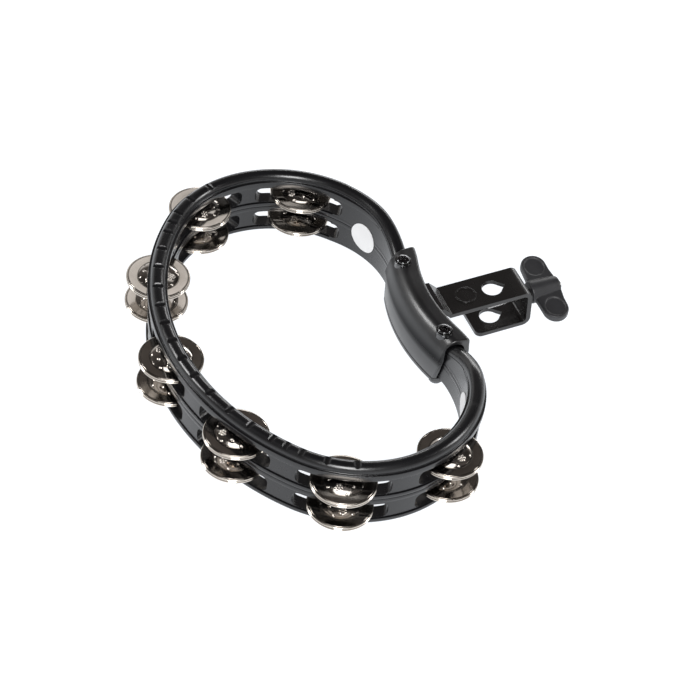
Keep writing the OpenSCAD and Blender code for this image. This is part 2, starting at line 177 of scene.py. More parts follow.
surface("frame_plastic", dark=(0.0052, 0.0052, 0.0060), light=(0.0085, 0.0085, 0.0098),
        rough=(0.20, 0.30), grain=2600, depth=0.00008, edge=0.0003, spec=0.62)
surface("cover_plastic", dark=(0.0058, 0.0058, 0.0066), light=(0.0095, 0.0095, 0.0108),
        rough=(0.30, 0.42), grain=2600, depth=0.00008, edge=0, spec=0.6)
surface("strap_paint", dark=(0.006, 0.0055, 0.0055), light=(0.010, 0.009, 0.0085),
        rough=(0.22, 0.32), grain=1400, bump=0.015, depth=0.0001, spec=0.6, coat=0.1)
surface("black_fastener", dark=(0.09, 0.09, 0.092), light=(0.16, 0.16, 0.162),
        rough=(0.14, 0.24), metal=1.0, grain=1500, bump=0.06, edge=0.0002)
surface("jingle_steel", dark=(0.42, 0.385, 0.35), light=(0.62, 0.575, 0.53),
        rough=(0.08, 0.18), metal=1.0, grain=420, bump=0.05, edge=0, smudge=55)
surface("pin_steel", dark=grey(0.5), light=grey(0.65),
        rough=(0.2, 0.32), metal=1.0, bump=0.08, edge=0)
surface("stud_zinc", dark=(0.55, 0.53, 0.51), light=(0.72, 0.70, 0.68),
        rough=(0.16, 0.28), metal=1.0, bump=0.06, edge=0)
surface("knob_plastic", dark=(0.020, 0.020, 0.022), light=(0.030, 0.030, 0.033),
        rough=(0.42, 0.55), grain=1800, bump=0.18, depth=0.00012, edge=0, spec=0.6)
surface("label_white", dark=grey(0.78), light=grey(0.86),
        rough=(0.45, 0.6), grain=1800, bump=0.05, edge=0.0001)


def paint_shade_in_crease():
    """Painted shade: a per-vertex attribute cuts the specular level along the cover's crease,
    darkening it.
    """
    tree = MATERIALS["cover_plastic"].node_tree
    shader = tree.nodes["Principled BSDF"]
    crease_shade = tree.nodes.new("ShaderNodeAttribute")
    crease_shade.attribute_name = "crease_shade"
    # painted shade: the specular level falls where the attribute is 1
    crease_shaded_spec = remap(tree, crease_shade.outputs["Fac"], span=(0.0, 1.0), to=(1.0, 0.12))
    tree.links.new(crease_shaded_spec, shader.inputs["Specular IOR Level"])


def paint_jingle_ring_shade_and_highlight():
    """Painted shade and highlight on a jingle: darkens it in a ring at the groove round its dome and
    in another just inside its rim, and brightens the rim itself.
    """
    tree = MATERIALS["jingle_steel"].node_tree
    colour = tree.nodes["Principled BSDF"].inputs["Base Color"]
    mottle = colour.links[0].from_socket
    coords = tree.nodes.new("ShaderNodeTexCoord")
    flat = tree.nodes.new("ShaderNodeVectorMath")
    flat.operation = "MULTIPLY"
    flat.inputs[1].default_value = (1, 1, 0)   # drops z
    tree.links.new(coords.outputs["Object"], flat.inputs[0])
    radius = tree.nodes.new("ShaderNodeVectorMath")
    radius.operation = "LENGTH"
    tree.links.new(flat.outputs[0], radius.inputs[0])
    # stops lie at fractions of the disc's 20 mm radius
    fraction = remap(tree, radius.outputs["Value"], span=(0.0, 0.020), to=(0.0, 1.0))
    # dark stops are painted shade in the grooves; the stop above 1 is a painted highlight on the rim
    painted_rings = ramp(tree, fraction, [
        (0.60, grey(1)), (0.635, (0.34, 0.33, 0.31)), (0.66, (0.85, 0.84, 0.82)),
        (0.90, (0.92, 0.91, 0.90)), (0.93, (0.30, 0.29, 0.28)), (0.95, (1.3, 1.3, 1.28))])
    tree.links.new(mix(tree, "MULTIPLY", 1.0, mottle, painted_rings), colour)


paint_shade_in_crease()
paint_jingle_ring_shade_and_highlight()

# start of a CAD piece's name, its material
PIECE_MATERIALS = {
    "jingle": "jingle_steel", "pin_": "pin_steel", "frame": "frame_plastic",
    "cover_upper": "cover_plastic", "cover_lower": "cover_plastic",
    "bracket_strap": "strap_paint", "cover_bolts": "black_fastener",
    "cover_nuts": "black_fastener", "clamp_stud": "stud_zinc",
    "wing_knob": "knob_plastic", "label_discs": "label_white",
}
for name, piece in frame["nodes"].items():
    material = next(m for start, m in PIECE_MATERIALS.items() if name.startswith(start))
    piece.data.materials.clear()
    piece.data.materials.append(MATERIALS[material])


# ---------------------------------------------------------------- the wall's path
# The wall is a symmetric loop of tangent arcs: a main arc centred at (MAIN_R, 0), two lobes
# centred at (LOBE_X, +-LOBE_Y) and an inward-curving mount arc centred at (MOUNT_X, 0).
MAIN_R = 157.8
LOBE_R = 74.6
LOBE_Y = 55.1
MOUNT_R = 118.4
LOBE_X = MAIN_R - math.sqrt((MAIN_R - LOBE_R) ** 2 - LOBE_Y ** 2)
MOUNT_X = LOBE_X + math.sqrt((LOBE_R + MOUNT_R) ** 2 - LOBE_Y ** 2)
LOBE_START_ANGLE = math.atan2(LOBE_Y, LOBE_X - MAIN_R)
MOUNT_ANGLE = math.atan2(LOBE_Y, MOUNT_X - LOBE_X)   # half the angle the mount arc spans
# lengths along the wall from x 0; the mount's middle is at HALF
MAIN_END = MAIN_R * (math.pi - LOBE_START_ANGLE)
LOBE_END = MAIN_END + LOBE_R * (LOBE_START_ANGLE + MOUNT_ANGLE)
HALF = LOBE_END + MOUNT_R * MOUNT_ANGLE

PITCH = 71.8       # between jingle slots along the wall
ROW_DROP = 20.0    # from the upper row of jingles to the lower


def path(s, out):
    """Point (x, y) at length s along the wall, positive to +y, and out outwards of its middle."""
    s = (s + HALF) % (2 * HALF) - HALF
    a = abs(s)
    side = -1.0 if s < 0 else 1.0
    if a < MAIN_END:
        t = math.pi - a / MAIN_R
        return MAIN_R + (MAIN_R + out) * math.cos(t), side * (MAIN_R + out) * math.sin(t)
    if a < LOBE_END:
        t = LOBE_START_ANGLE - (a - MAIN_END) / LOBE_R
        return (LOBE_X + (LOBE_R + out) * math.cos(t),
                side * (LOBE_Y + (LOBE_R + out) * math.sin(t)))
    t = math.pi - MOUNT_ANGLE + (a - LOBE_END) / MOUNT_R
    return MOUNT_X + (MOUNT_R - out) * math.cos(t), side * (MOUNT_R - out) * math.sin(t)


def wall_frame(s):
    """(middle of the wall, outward direction, direction of growing s) at length s."""
    middle = Vector(path(s, 0))
    outward = (Vector(path(s, 1)) - middle).normalized()
    along = (Vector(path(s + 0.5, 0)) - Vector(path(s - 0.5, 0))).normalized()
    return middle, outward, along


# ---------------------------------------------------------------- shape helpers
def unit(x):
    """x held between 0 and 1."""
    return min(1.0, max(0.0, x))


def ease(x, start, end):
    """Smooth step from 0 at start to 1 at end."""
    t = unit((x - start) / (end - start))
    return t * t * (3 - 2 * t)


def polar(radius, degrees):
    return radius * math.cos(math.radians(degrees)), radius * math.sin(math.radians(degrees))


def circle(radius, z, count):
    turns = [2 * math.pi * i / count for i in range(count)]
    return [(radius * math.cos(t), radius * math.sin(t), z) for t in turns]


def flipped(section):
    """The mirror image of a section of (out, z), in reversed order."""
    return [(-out, z) for out, z in reversed(section)]


def loft(painted_rings, closed=True):
    """Vertices and faces through rings of equal length; an open loft gets end caps."""
    m, n = len(painted_rings), len(painted_rings[0])
    vertices = [point for ring in painted_rings for point in ring]
    faces = []
    for i in range(m if closed else m - 1):
        j = (i + 1) % m
        for k in range(n):
            l = (k + 1) % n
            faces.append((i * n + k, i * n + l, j * n + l, j * n + k))
    if not closed:
        faces.append(tuple(range(n - 1, -1, -1)))
        faces.append(tuple((m - 1) * n + k for k in range(n)))
    return vertices, faces


def lathe(profile, count):
    """Revolves [(radius, z)] about Z; a point at radius 0 becomes one vertex."""
    vertices, rows = [], []
    for radius, z in profile:
        start = len(vertices)
        if radius < 1e-9:
            rows.append([start] * count)
            vertices.append((0, 0, z))
        else:
            rows.append(list(range(start, start + count)))
            vertices += circle(radius, z, count)
    faces = []
    for p, q in zip(rows, rows[1:]):
        for i in range(count):
            j = (i + 1) % count
            faces.append(tuple(dict.fromkeys((p[i], p[j], q[j], q[i]))))
    return vertices, faces


def placed(matrix, vertices, faces):
    return [tuple(matrix @ Vector(v)) for v in vertices], faces


def joined(parts):
    """Several (vertices, faces) as one."""
    vertices, faces = [], []
    for part_vertices, part_faces in parts:
        start = len(vertices)
        vertices += part_vertices
        faces += [tuple(start + i for i in face) for face in part_faces]
    return vertices, faces


def build_mesh(name, vertices, faces, smooth=False):
    """A mesh in metres from millimetres, its normals made consistent."""
    mesh = bpy.data.meshes.new(name)
    mesh.from_pydata([(x * MM, y * MM, z * MM) for x, y, z in vertices], [], faces)
    bm = bmesh.new()
    bm.from_mesh(mesh)
    bmesh.ops.recalc_face_normals(bm, faces=bm.faces)
    if smooth:
        for face in bm.faces:
            face.smooth = True
    bm.to_mesh(mesh)
    bm.free()
    return mesh


def link_new(name, data):
    part = bpy.data.objects.new(name, data)
    SCENE.collection.objects.link(part)
    return part


def solid(name, vertices, faces):
    return link_new(name, build_mesh(name, vertices, faces))


def apply_modifiers(part):
    evaluated = part.evaluated_get(bpy.context.evaluated_depsgraph_get())
    mesh = bpy.data.meshes.new_from_object(evaluated)
    part.modifiers.clear()
    part.data = mesh


def combine(part, tool, operation="DIFFERENCE"):
    """Cuts the tool out of the part, or joins it on, and removes the tool."""
    modifier = part.modifiers.new("combine", "BOOLEAN")
    modifier.operation = operation
    modifier.object = tool
    modifier.solver = "MANIFOLD"
    apply_modifiers(part)
    bpy.data.objects.remove(tool)


def skin(part, material, crease=None):
    """Sets the material and smooth shading, with edges sharp past crease degrees if given."""
    mesh = part.data
    mesh.materials.clear()
    mesh.materials.append(MATERIALS[material])
    mesh.polygons.foreach_set("use_smooth", [True] * len(mesh.polygons))
    if crease is None:
        return
    bm = bmesh.new()
    bm.from_mesh(mesh)
    limit = math.radians(crease)
    for edge in bm.edges:
        edge.smooth = not (len(edge.link_faces) == 2 and edge.calc_face_angle(0.0) > limit)
    bm.to_mesh(mesh)
    bm.free()


def install(part, body, node):
    """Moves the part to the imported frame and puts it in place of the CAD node."""
    part.matrix_world = Matrix.Translation(SHIFT) @ part.matrix_world
    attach(part, body)
    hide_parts(node)


# ---------------------------------------------------------------- frame halves
SCOOPS = [0, 15.6, 31, 47.5, 65, 81.5, 97.5, 107, 117, 132.5, 150]   # along the wall
SCOOP_R = 2.7
SCOOP_Z = 17.8     # axis of the scoops
SLOT_HALF = 28.5   # half length of a slot
SLOT_HALF_HEIGHT = 5.7
SLOT_CORNER = 4.0
SLOT_DROP = 0.5    # of a slot's middle below its row
SLOT_END = 3 * PITCH + SLOT_HALF
FALL = MAIN_END + LOBE_R * (LOBE_START_ANGLE - math.radians(15))   # where the bead starts down
BEAD_R = 4.7
BEAD_Z = 11.8
TAPER = (HALF - 110, HALF - 62)   # where the shoulder narrows and the bead widens
LOW_TOP_START = 309   # past here, within the cover, the upper half is cut low
LOW_TOP_Z = 3.45
FOOT_Z = -30.0


def stations():
    """Lengths of the wall's rings, closer together at each scoop and the recess's end."""
    half = list(np.arange(0, HALF, 1.6)) + [HALF]
    for scoop in SCOOPS:
        half = [s for s in half if abs(s - scoop) > 2.9]
        half += [s for s in np.linspace(scoop - 2.9, scoop + 2.9, 5) if s >= 0]
    end = SLOT_END - 4
    half = [s for s in half if abs(s - end) > 1.6]
    half += list(np.linspace(end - 1.5, end + 1.5, 9))
    half = sorted(set(round(float(s), 3) for s in half))
    return [-s for s in reversed(half[1:-1])] + half


def bead_drop(distance):
    past = distance - FALL - 1.0
    return 0.36 * 0.5 * (past + math.sqrt(past * past + 60.0))   # slope 0.36, smooth start


def recess(distance):
    """(face, groove): how far out the recessed band and its edge grooves lie."""
    strength = 1 - ease(distance, SLOT_END - 4.9, SLOT_END - 3.6)
    face = 5.0 - 0.8 * strength
    return face, face - 0.45 * strength


def upper_section(s):
    """Outline (out, z) of the upper half, from the seam up and over the bead."""
    a = abs(s)
    face, groove = recess(a)
    taper = ease(a, *TAPER)
    shoulder = 5.0 + 1.15 * (1 - taper)
    bead_r = BEAD_R + 0.3 * taper
    bead_z = BEAD_Z - (bead_drop(a) if a > FALL - 30 else 0.0)
    ledge = bead_z - 0.05
    bead_z -= bead_r - BEAD_R
    side = [
        (4.55, -9.99), (4.86, -9.86), (5.0, -9.55), (5.0, -7.2), (4.93, -7.05),
        (groove, -6.98), (groove, -6.5), (face, -6.38), (face, 0.0), (face, 6.38),
        (groove, 6.5), (groove, 6.98), (4.97, 7.05), (5.02, 7.1),
        (shoulder - 0.28, 7.3), (shoulder - 0.06, 7.5), (shoulder, 7.8),
        (shoulder, ledge - 0.5), (shoulder - 0.07, ledge - 0.2), (shoulder - 0.3, ledge),
        (4.95, ledge + 0.02)]
    start = math.asin(max(-1, min(1, (ledge + 0.25 - bead_z) / bead_r)))
    bead = [(bead_r * math.cos(t), bead_z + bead_r * math.sin(t))
            for t in np.linspace(start, math.pi / 2, 21)]
    top = LOW_TOP_Z if a > LOW_TOP_START else math.inf
    outer = [(out, min(z, ledge + 0.02)) for out, z in side] + bead
    outer = [(out, min(z, top)) for out, z in outer]
    return outer + flipped(outer[:-1])


def lower_section(s):
    """Outline (out, z) of the lower half, from the foot up to the seam."""
    a = abs(s)
    face, groove = recess(a)
    foot = FOOT_Z
    if a > MAIN_END + 60:   # the foot rises 5 mm towards the mount
        foot = FOOT_Z + 5 * unit((104 - abs(path(s, 0)[1])) / 59.0)
    rounding = [(4.0, foot), (4.5, foot + 0.08), (4.86, foot + 0.4), (5.0, foot + 0.9)]
    side = [
        (5.0, -27.15), (4.93, -27.0), (groove, -26.93), (groove, -26.45), (face, -26.35),
        (face, -20.0), (face, -13.65), (groove, -13.55), (groove, -13.07), (4.93, -13.0),
        (5.0, -12.85), (5.0, -10.45), (4.86, -10.14), (4.55, -10.01)]
    outer = rounding + [(out, max(z, foot + 0.9)) for out, z in side]
    return outer + flipped(outer)


def wall_bar(s, outline, z, reach):
    """A bar through the wall at length s; its outline is (along the wall, height over z)."""
    middle, outward, along = wall_frame(s)
    painted_rings = []
    for out in (-reach, reach):
        spots = [(middle + along * u + outward * out, z + w) for u, w in outline]
        painted_rings.append([(spot.x, spot.y, height) for spot, height in spots])
    return loft(painted_rings, closed=False)


def slot_cutter(row_z):
    """Rounded rectangular bars, one for each jingle slot of a row."""
    u, w = SLOT_HALF - SLOT_CORNER, SLOT_HALF_HEIGHT - SLOT_CORNER
    outline = []
    for quarter, (x, z) in enumerate([(u, w), (-u, w), (-u, -w), (u, -w)]):
        for degrees in np.linspace(quarter * 90, quarter * 90 + 90, 9):
            dx, dz = polar(SLOT_CORNER, degrees)
            outline.append((x + dx, z + dz))
    bars = [wall_bar(k * PITCH, outline, row_z - SLOT_DROP, reach=12) for k in range(-3, 4)]
    return solid("slot_cutter", *joined(bars))


def scoop_cutter():
    """Short round bars laid across the bead, one for each finger scoop."""
    outline = [(x, z) for x, z, _ in circle(SCOOP_R, 0, 40)]
    bars = [wall_bar(s, outline, SCOOP_Z, reach=8)
            for scoop in SCOOPS for s in ((scoop, -scoop) if scoop else (0,))]
    return solid("scoop_cutter", *joined(bars))


def frame_half(name, section, row_z, node):
    painted_rings = [[(*path(s, out), z) for out, z in section(s)] for s in stations()]
    half = solid(name, *loft(painted_rings))
    combine(half, slot_cutter(row_z))
    if section is upper_section:
        combine(half, scoop_cutter())
    skin(half, "frame_plastic", crease=28)
    install(half, "frame", node)


frame_half("shell_upper", upper_section, 0.0, "frame_upper")
frame_half("shell_lower", lower_section, -ROW_DROP, "frame_lower")


# ---------------------------------------------------------------- jingles
DISC_SEGMENTS = 216
HOLE_R = 1.55
SHEET = 0.62      # thickness, and radius of the rolled rim
RIM_CENTRE = (19.36, 0.63)   # (radius, z)
JINGLE_GAP = 0.1  # of each disc from its row's plane
TOP_RADII = [HOLE_R, 1.7, 2.0, 2.6, 3.2, 3.9, 4.6, *np.arange(5.1, 14.2, 0.26),
             14.6, 15.4, 16.2, 17.0, 17.7, 18.2, 18.5, 18.7]
UNDER_RADII = [17.5, 15.0, 13.0, 12.2, 11.5, 10.5, 9.0, 7.0, 5.0, 3.0, HOLE_R]


def bump_centres():
    """Three clusters of seven bumps."""
    for degrees in (0, 120, 240):
        x, y = polar(8.1, degrees)
        yield x, y
        for k in range(6):
            dx, dy = polar(1.66, degrees + 60 * k)
            yield x + dx, y + dy


# centres, radius squared, height, power of the falloff; no two stamps overlap
STAMPS = [
    (list(bump_centres()), 0.68, 0.42, 0.75),
    ([polar(8.8, degrees) for degrees in (60, 180, 300)], 1.5, -0.5, 1.1),
    ([polar(11.9, 60 * k + 30) for k in range(6)], 0.55, -0.42, 1),
]


def disc_z(r):
    """Height of the plain top face: a dome blended into a sloping flange, with a groove."""
    dome = 1.42 + 2.38 * max(0.0, 1 - (r / 12.6) ** 2) ** 0.75
    flange = 0.7 + 0.8 * (18.9 - r) / 6.9
    rise = dome - flange
    z = flange + 0.5 * (rise + math.sqrt(rise * rise + 0.06)) - 0.02
    return z - 0.16 * math.exp(-((r - 13.0) / 0.28) ** 2)


def stamp_height(x, y):
    height = 0.0
    for centres, radius_squared, depth, power in STAMPS:
        for cx, cy in centres:
            left = 1 - ((x - cx) ** 2 + (y - cy) ** 2) / radius_squared
            if left > 0:
                height += depth * left ** power
    return height


def disc_mesh():
    """One pressed disc with a rolled rim, its rim plane at z 0."""
    painted_rings = []
    for r in TOP_RADII:
        ring = circle(r, disc_z(r), DISC_SEGMENTS)
        if 5 < r < 14:
            ring = [(x, y, z + stamp_height(x, y)) for x, y, z in ring]
        painted_rings.append(ring)
    rim_r, rim_z = RIM_CENTRE
    profile = [(rim_r + SHEET * math.cos(t), rim_z + SHEET * math.sin(t))
               for t in np.linspace(math.radians(172), math.radians(-90), 15)]
    profile += [(18.9, 0.02), (18.6, 0.08)]
    profile += [(r, max(0.05, disc_z(r) - SHEET)) for r in UNDER_RADII]
    painted_rings += [circle(r, z, DISC_SEGMENTS) for r, z in profile]
    mesh = build_mesh("pressed_disc", *loft(painted_rings), smooth=True)
    mesh.materials.append(MATERIALS["jingle_steel"])
    return mesh


def jingles():
    mesh = disc_mesh()
    for k in range(1, 8):
        middle, outward, _ = wall_frame((4 - k) * PITCH)
        facing = math.atan2(outward.y, outward.x)
        for row, letter in enumerate("ab"):
            for side, gap, flip in (("top", JINGLE_GAP, 0.0), ("bottom", -JINGLE_GAP, math.pi)):
                disc = link_new(f"disc_{k}{letter}_{side}", mesh)
                spot = (middle.x * MM, middle.y * MM, (-ROW_DROP * row + gap) * MM)
                # each pair is turned differently
                turn = Matrix.Rotation(facing + math.radians(17 * k + 31 * row), 4, "Z")
                disc.matrix_world = (Matrix.Translation(spot) @ turn
                                     @ Matrix.Rotation(flip, 4, "X"))
                node = f"jingle_{k}{letter}_{side}"
                install(disc, node, node)


jingles()


# ---------------------------------------------------------------- mount cover
COVER = 46.0       # half length along the wall
COVER_OUT = 9.4    # half width at its widest
COVER_FOOT = -24.5
BAND_END = 5.2     # length at each end with closer rings
BAND_END_STEPS = [0, 0.12, 0.3, 0.55, 0.85, 1.2, 1.7, 2.3, 3.0, 3.8, 4.6, BAND_END]
# Bezier control points (out, z) of the broad roll: from the flat top over to the inner crease
ROLL = ((1.8, 9.5), (-3.0, 9.5), (-7.6, 5.6), (-9.25, -7.0))
# (out, z) up the outer side, from the foot to the flat top
COVER_OUTER = [
    (8.1, -24.5), (8.32, -24.42), (8.4, -24.2), (8.4, -9.3), (8.3, -8.6), (8.3, -8.1),
    (8.7, -7.5), (9.1, -7.1), (9.35, -6.4), (9.4, -5.0), (9.4, 0.0), (9.4, 6.6), (9.36, 7.3),
    (9.2, 7.95), (8.9, 8.55), (8.5, 9.0), (8.0, 9.3), (7.3, 9.46), (6.4, 9.5), (4.0, 9.5),
    (2.2, 9.5)]
# (out, z) down the inner side, from the crease to the foot
COVER_INNER = [
    (-9.1, -7.25), (-8.8, -7.5), (-8.0, -8.0), (-7.45, -8.7), (-7.5, -9.5), (-7.9, -10.6),
    (-8.2, -11.6), (-8.4, -13.0), (-8.4, -24.2), (-8.32, -24.42), (-8.1, -24.5)]


def reach(out, z):
    """Share of its length the cover reaches: its ends slant back on the ring's inner side."""
    inward = unit((COVER_OUT - out) / (2 * COVER_OUT))
    down = unit((-7.0 - z) / (-7.0 - COVER_FOOT))
    return 1 - (4.5 + 5.0 * down) * inward / COVER


def band(section, length, slant=True):
    """Sweeps a section (function of distance from the mount's middle) across the mount."""
    spots = [u for u in np.arange(-length, length + 1e-6, 1.6) if abs(u) < length - BAND_END]
    ends = [length - step for step in BAND_END_STEPS]
    spots += ends + [-u for u in ends]
    painted_rings = [[(*path(HALF + u * (reach(out, z) if slant else 1.0), out), z)
              for out, z in section(u)]
             for u in sorted(set(round(float(u), 4) for u in spots))]
    return loft(painted_rings, closed=False)


def rounding(distance, radius):
    """Inset of a rounded edge at a distance from its end face."""
    return radius - math.sqrt(max(0.0, radius * radius - max(0.0, radius - distance) ** 2))


def cover_section(u):
    to_end = COVER - abs(u)
    outline = list(COVER_OUTER)
    for t in np.linspace(0.02, 1.0, 36):
        weights = ((1 - t) ** 3, 3 * t * (1 - t) ** 2, 3 * t * t * (1 - t), t ** 3)
        outline.append(tuple(sum(w * point[c] for w, point in zip(weights, ROLL))
                             for c in (0, 1)))
    section = []
    for out, z in outline + COVER_INNER:
        # ends are rounded more towards the top
        high = ease(z, 2.0, 7.0)
        inset = rounding(to_end, 0.5) * (1 - high) + rounding(to_end, 1.6) * high
        if abs(out) > 5.5:
            out = math.copysign(max(0.5, abs(out) - inset), out)
        else:
            out *= 1 - 0.1 * inset
        section.append((out, z - (rounding(to_end, 0.9) if z > 4 else 0.0)))
    return section


def cavity_section(_):
    """A round-topped channel, the same all along."""
    side = [(6.2, -40.0), (6.2, 1.0)]
    side += [(1.2 + 5.0 * math.cos(t), 1.0 + 5.5 * math.sin(t))
             for t in np.linspace(0.15, math.pi / 2, 12)]
    return side + flipped(side)


def plate_section(u):
    inset = rounding(COVER - abs(u), 1.2)
    side = [(8.3, -25.0), (8.4, -25.15), (8.4, -26.9), (8.2, -27.5), (7.8, -27.85), (7.2, -28.0)]
    side = [(out - inset, z) for out, z in side]
    return side + flipped(side)


def mouth_cutter():
    """A box that opens the cover's outer side at its middle."""
    start = MOUNT_X - MOUNT_R + 3
    painted_rings = [[(x, -12.9, -8), (x, 12.9, -8), (x, 12.9, 6.6), (x, -12.9, 6.6)]
             for x in (start, start + 12)]
    return solid("mouth", *loft(painted_rings, closed=False))


def crease_shade_at(point):
    """Painted shade strength: 1 along the crease on the cover's inner side, fading above and below.
    """
    x, y, z = point.x * 1000, abs(point.y * 1000), point.z * 1000
    if math.atan2(y, MOUNT_X - x) > MOUNT_ANGLE:
        out = math.hypot(x - LOBE_X, y - LOBE_Y) - LOBE_R
    else:
        out = MOUNT_R - math.hypot(x - MOUNT_X, y)
    if out >= -6.5:
        return 0.0
    return ease(z, -13.5, -8.5) * (1 - ease(z, -6.0, 3.0))


def cover_shell():
    cover = solid("cover_shell", *band(cover_section, COVER))
    combine(cover, solid("cavity", *band(cavity_section, COVER + 3, slant=False)))
    combine(cover, mouth_cutter())
    skin(cover, "cover_plastic", crease=32)
    # painted shade along the inner crease, stored per vertex for the cover's material
    crease_shade = cover.data.attributes.new("crease_shade", "FLOAT", "POINT")
    crease_shade.data.foreach_set("value", [crease_shade_at(vertex.co) for vertex in cover.data.vertices])
    install(cover, "frame", "cover_upper")


def cover_base():
    plate = solid("cover_base", *band(plate_section, COVER))
    skin(plate, "cover_plastic", crease=32)
    install(plate, "frame", "cover_lower")


cover_shell()
cover_base()


# ---------------------------------------------------------------- bolts and nuts
BOLT_X = 165.6
BOLT_Y = 32.4
BOLT_SPOTS = [(side, Matrix.Translation((BOLT_X, side * BOLT_Y, 0))) for side in (-1, 1)]
HEAD_R = 4.3
# (radius, z) from below the head's dome down the collar and the shank
BOLT_PROFILE = [
    (HEAD_R, 10.6), (4.2, 10.4), (4.15, 10.32), (5.0, 10.3), (5.2, 10.18), (5.25, 10.0),
    (5.25, 9.65), (5.15, 9.5), (4.9, 9.4), (4.9, 9.2), (5.1, 9.1), (5.1, 8.2), (4.95, 8.05),
    (4.95, 5.2), (2.5, 5.0), (2.5, -33.2), (2.2, -33.5), (0, -33.5)]
NUT_R = 4.6        # to its corners
# (z, greatest radius) of the nut's rings
NUT_RINGS = [(-28.95, 4.15), (-29.3, NUT_R), (-32.4, NUT_R), (-33.0, 3.95)]
WASHER_PROFILE = [(0, -28.02), (5.25, -28.02), (5.4, -28.15), (5.4, -28.85), (5.25, -29.0),
                  (0, -29.0)]


def cross_cutter(spot, degrees, nudge):
    """One tapered bar of a cross recess; the nudge keeps two bars' faces from coinciding."""
    vertices = []
    for length, width, z in ((1.3, 0.36, 10.5), (2.75, 0.62, 12.8)):   # half sizes
        width += nudge
        vertices += [(x, y, z + nudge) for x, y in
                     ((-length, -width), (length, -width), (length, width), (-length, width))]
    faces = [(0, 3, 2, 1), (4, 5, 6, 7), (0, 1, 5, 4), (1, 2, 6, 5), (2, 3, 7, 6), (3, 0, 4, 7)]
    turned = spot @ Matrix.Rotation(math.radians(degrees), 4, "Z")
    return solid("cross", *placed(turned, vertices, faces))


def cross_bolts():
    profile = [(0, 12.4)]
    profile += [(HEAD_R * math.sin(t), 11.0 + 1.4 * math.cos(t))
                for t in np.linspace(0.12, math.pi / 2, 14)]
    turned = lathe(profile + BOLT_PROFILE, 64)
    bolts = solid("cross_bolts", *joined([placed(spot, *turned) for _, spot in BOLT_SPOTS]))
    for side, spot in BOLT_SPOTS:
        for degrees, nudge in ((20, 0.0), (110, 0.013)):
            combine(bolts, cross_cutter(spot, degrees + 9 * side, nudge))
    skin(bolts, "black_fastener", crease=30)
    install(bolts, "frame", "cover_bolts")


def hex_ring(z, limit, count=72):
    """A hexagon whose corners are turned down to the limit radius."""
    ring = []
    for i in range(count):
        t = 2 * math.pi * i / count
        from_flat = (t % (math.pi / 3)) - math.pi / 6
        r = min(NUT_R * math.cos(math.pi / 6) / math.cos(from_flat), limit)
        ring.append((r * math.cos(t), r * math.sin(t), z))
    return ring


def hex_nuts():
    nut = loft([hex_ring(z, limit) for z, limit in NUT_RINGS], closed=False)
    washer = lathe(WASHER_PROFILE, 64)
    parts = [placed(spot, *part) for _, spot in BOLT_SPOTS for part in (nut, washer)]
    nuts = solid("hex_nuts", *joined(parts))
    skin(nuts, "black_fastener", crease=30)
    install(nuts, "frame", "cover_nuts")


cross_bolts()
hex_nuts()


# ---------------------------------------------------------------- stud and wing knob
# The stud's axis runs along +x, tilted 5 degrees, 14 below the tilt's pivot.
TILT = Matrix.Translation((176, 0, 0.1)) @ Matrix.Rotation(-math.radians(5), 4, "Y")
AXIS_Z = -14
TO_X = Matrix.Rotation(math.pi / 2, 4, "Y")   # turns +z to +x
STUD_START, STUD_END = 35.5, 86.9   # along the axis
STUD_R = 3.0
KNOB_START = 64.9
HUB_PROFILE = [(0, 0), (6.7, 0), (7.3, 0.5), (7.4, 1.2), (6.1, 19.5), (5.6, 20.3), (4.9, 20.5),
               (0, 20.5)]
WING_X = 10.9      # middle of a wing along the knob's axis
WING_TIP_R = 8.3
WING_TIP_Y = 17.5
# (z, inset) of the wing's rings: a slab 5.5 thick with rounded edges
WING_RINGS = ((-2.75, 0.9), (-2.45, 0.35), (-1.9, 0.0), (1.9, 0.0), (2.45, 0.35), (2.75, 0.9))


def threaded_stud():
    """A rod with a helical thread of pitch 1, its ends chamfered."""
    painted_rings = []
    for z in np.arange(STUD_START, STUD_END, 0.125):
        limit = min(STUD_R, 2.2 + (z - STUD_START) * 1.0, 2.3 + (STUD_END - z) * 1.2)
        ring = []
        for i in range(36):
            t = 2 * math.pi * i / 36
            phase = (z - t / (2 * math.pi)) % 1.0
            r = min(limit, STUD_R - 0.52 * (1 - abs(2 * phase - 1)) ** 1.1)
            ring.append((r * math.cos(t), r * math.sin(t), z))
        painted_rings.append(ring)
    axis = TILT @ Matrix.Translation((0, 0, AXIS_Z)) @ TO_X
    stud = solid("threaded_stud", *placed(axis, *loft(painted_rings, closed=False)))
    skin(stud, "stud_zinc", crease=50)
    install(stud, "clamp_stud", "clamp_stud")


def wing_slab():
    """Both wings as one slab across the hub, with half-round tips."""
    tip = [(WING_X - WING_TIP_R * math.cos(math.radians(t)),
            WING_TIP_Y + WING_TIP_R * math.sin(math.radians(t))) for t in np.linspace(0, 180, 33)]
    outline = tip + [(19.3, 12.0), (20.2, 6.0), (20.2, -6.0), (19.3, -12.0)]
    outline += [(x, -y) for x, y in reversed(tip)]
    outline += [(2.3, -12.0), (1.8, -6.0), (1.8, 6.0), (2.3, 12.0)]
    normals = []
    for i, (x, y) in enumerate(outline):
        following = Vector(outline[(i + 1) % len(outline)])
        tangent = (following - Vector(outline[i - 1])).normalized()
        normal = Vector((tangent.y, -tangent.x))
        if normal.dot(Vector((x - WING_X, y * 0.4))) < 0:
            normal = -normal
        normals.append(normal)
    painted_rings = [[(x - normal.x * inset, y - normal.y * inset, z)
              for (x, y), normal in zip(outline, normals)] for z, inset in WING_RINGS]
    return solid("wing", *loft(painted_rings, closed=False))


